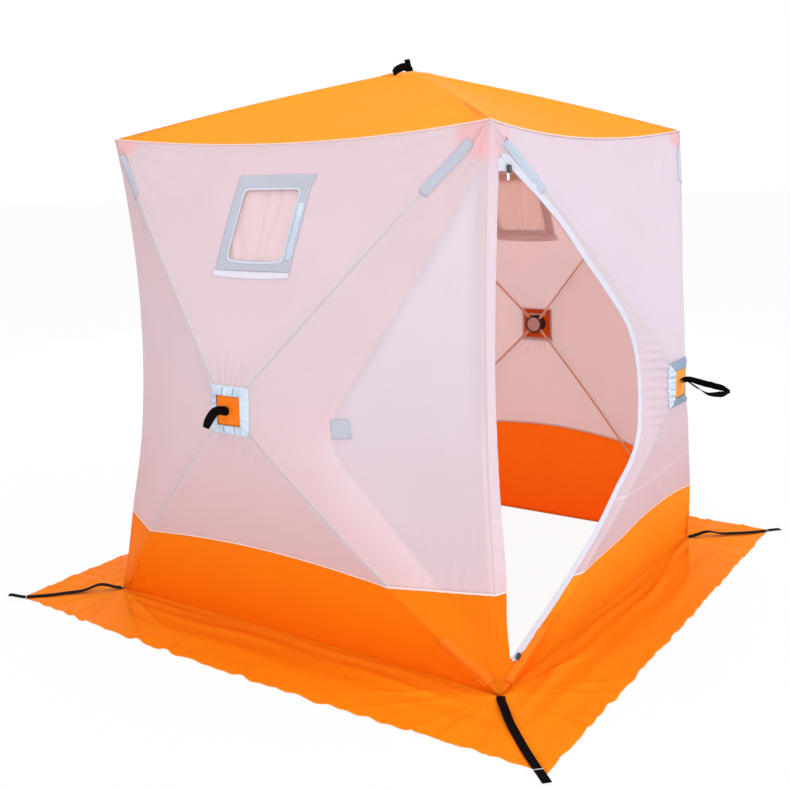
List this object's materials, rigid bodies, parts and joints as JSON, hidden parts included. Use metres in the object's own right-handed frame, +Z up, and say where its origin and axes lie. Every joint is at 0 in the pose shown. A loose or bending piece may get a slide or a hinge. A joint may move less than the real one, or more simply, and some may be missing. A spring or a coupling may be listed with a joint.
{
  "type": "ice fishing hut",
  "caption": "Pop-up cube hut of cloth panels pulled tight by rods and hubs on each wall and the roof, with a zip door, curtained windows and a skirt on the ground.",
  "frame": {"origin": "on the ground under the middle of the hut", "axes": "+Z up, -Y out through the door wall, -X out through the window wall beside the door"},
  "size_m": [2.1626, 2.252, 1.7892],
  "materials": {
    "white_cloth": "coated weave",
    "orange_cloth": "coated weave",
    "roof_cloth": "coated weave",
    "grey_cloth": "coated weave",
    "curtain_cloth": "coated weave",
    "zip_tape": "woven tape",
    "black_webbing": "woven webbing",
    "black_plastic": "moulded",
    "grey_plastic": "moulded",
    "fibreglass": "smooth",
    "clear_film": "clear",
    "zip_metal": "plated"
  },
  "bodies": {
    "root": {"back_skirt": "orange_cloth", "back_wall_band": "orange_cloth", "back_wall_lower_panel": "white_cloth", "back_wall_side_panels": "white_cloth", "back_wall_top_panel": "white_cloth", "corner_joints": "black_plastic", "corner_straps": "black_webbing", "door_flap": "white_cloth", "door_zip_tape": "zip_tape", "eave_corner_patches": "orange_cloth", "front_skirt": "orange_cloth", "front_wall_band": "orange_cloth", "front_wall_door_surround": "white_cloth", "front_wall_lower_panel": "white_cloth", "front_wall_side_panel": "white_cloth", "front_wall_top_panel": "white_cloth", "hub_caps": "orange_cloth", "hub_discs": "grey_plastic", "hub_linings": "orange_cloth", "hub_patches": "grey_cloth", "hubs": "black_plastic", "left_skirt": "orange_cloth", "left_wall_band": "orange_cloth", "left_wall_lower_panel": "white_cloth", "left_wall_side_panels": "white_cloth", "left_wall_top_panel": "white_cloth", "lower_corner_strips": "orange_cloth", "right_skirt": "orange_cloth", "right_wall_band": "orange_cloth", "right_wall_lower_panel": "white_cloth", "right_wall_side_panels": "white_cloth", "right_wall_top_panel": "white_cloth", "roof_back_panel": "roof_cloth", "roof_front_panel": "roof_cloth", "roof_left_panel": "roof_cloth", "roof_pull_strap": "black_webbing", "roof_right_panel": "roof_cloth", "roof_rods": "fibreglass", "upper_corner_strips": "grey_cloth", "wall_pull_straps": "black_webbing", "wall_rods": "fibreglass", "window_curtains": "curtain_cloth", "window_films": "clear_film", "window_frames": "grey_cloth", "zip_sliders": "zip_metal"}
  },
  "joints": []
}
